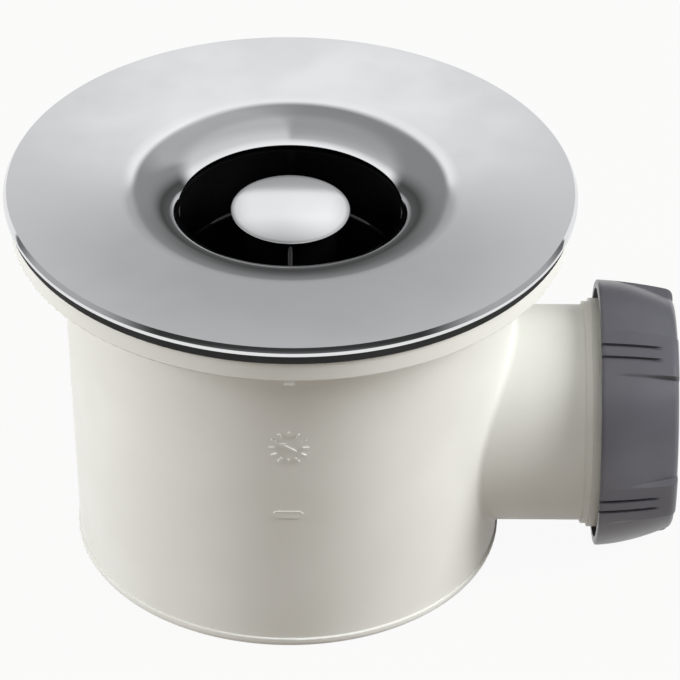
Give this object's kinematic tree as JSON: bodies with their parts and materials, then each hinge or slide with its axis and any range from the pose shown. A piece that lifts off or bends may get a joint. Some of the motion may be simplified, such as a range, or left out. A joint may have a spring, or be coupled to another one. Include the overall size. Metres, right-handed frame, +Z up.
{
  "type": "shower drain",
  "caption": "Shower tray drain with a chrome funnel cover, lift-out strainer and trap cup, and a low side outlet with a compression nut.",
  "frame": {"origin": "middle of the body's base", "axes": "+Z up the drain to the cover, +X out along the outlet"},
  "size_m": [0.1362, 0.115, 0.083],
  "materials": {
    "chrome": "polished",
    "black_plastic": "glossy moulded",
    "cream_plastic": "satin moulded",
    "grey_plastic": "satin moulded",
    "rubber": "matt",
    "stainless": "plain",
    "brass": "turned"
  },
  "bodies": {
    "drain": {"trap_body": "cream_plastic", "trap_cup": "cream_plastic", "dip_tube": "black_plastic", "tube_o_ring": "rubber", "clamp_ring": "cream_plastic", "clamp_screws": "stainless", "screw_inserts": "brass", "upper_gasket": "rubber", "lower_gasket": "rubber", "strainer": "black_plastic", "button_cap": "chrome", "cover_plate": "chrome", "cone_seal": "rubber"},
    "slip_ring": {"thrust_ring": "grey_plastic"},
    "nut": {"outlet_nut": "grey_plastic"}
  },
  "joints": [
    {"name": "ring_slide", "type": "slide", "parent": "drain", "child": "slip_ring", "axis": [1, 0, 0], "range_m": [0, 0.0053]},
    {"name": "nut_turn", "type": "hinge", "parent": "slip_ring", "child": "nut", "pos_m": [0.07, 0, 0.0281], "axis": [1, 0, 0], "range_deg": [0, 630]}
  ],
  "couplings": [
    {"joint": "ring_slide", "follows": "nut_turn", "m_per_rad": 0.00047746}
  ]
}
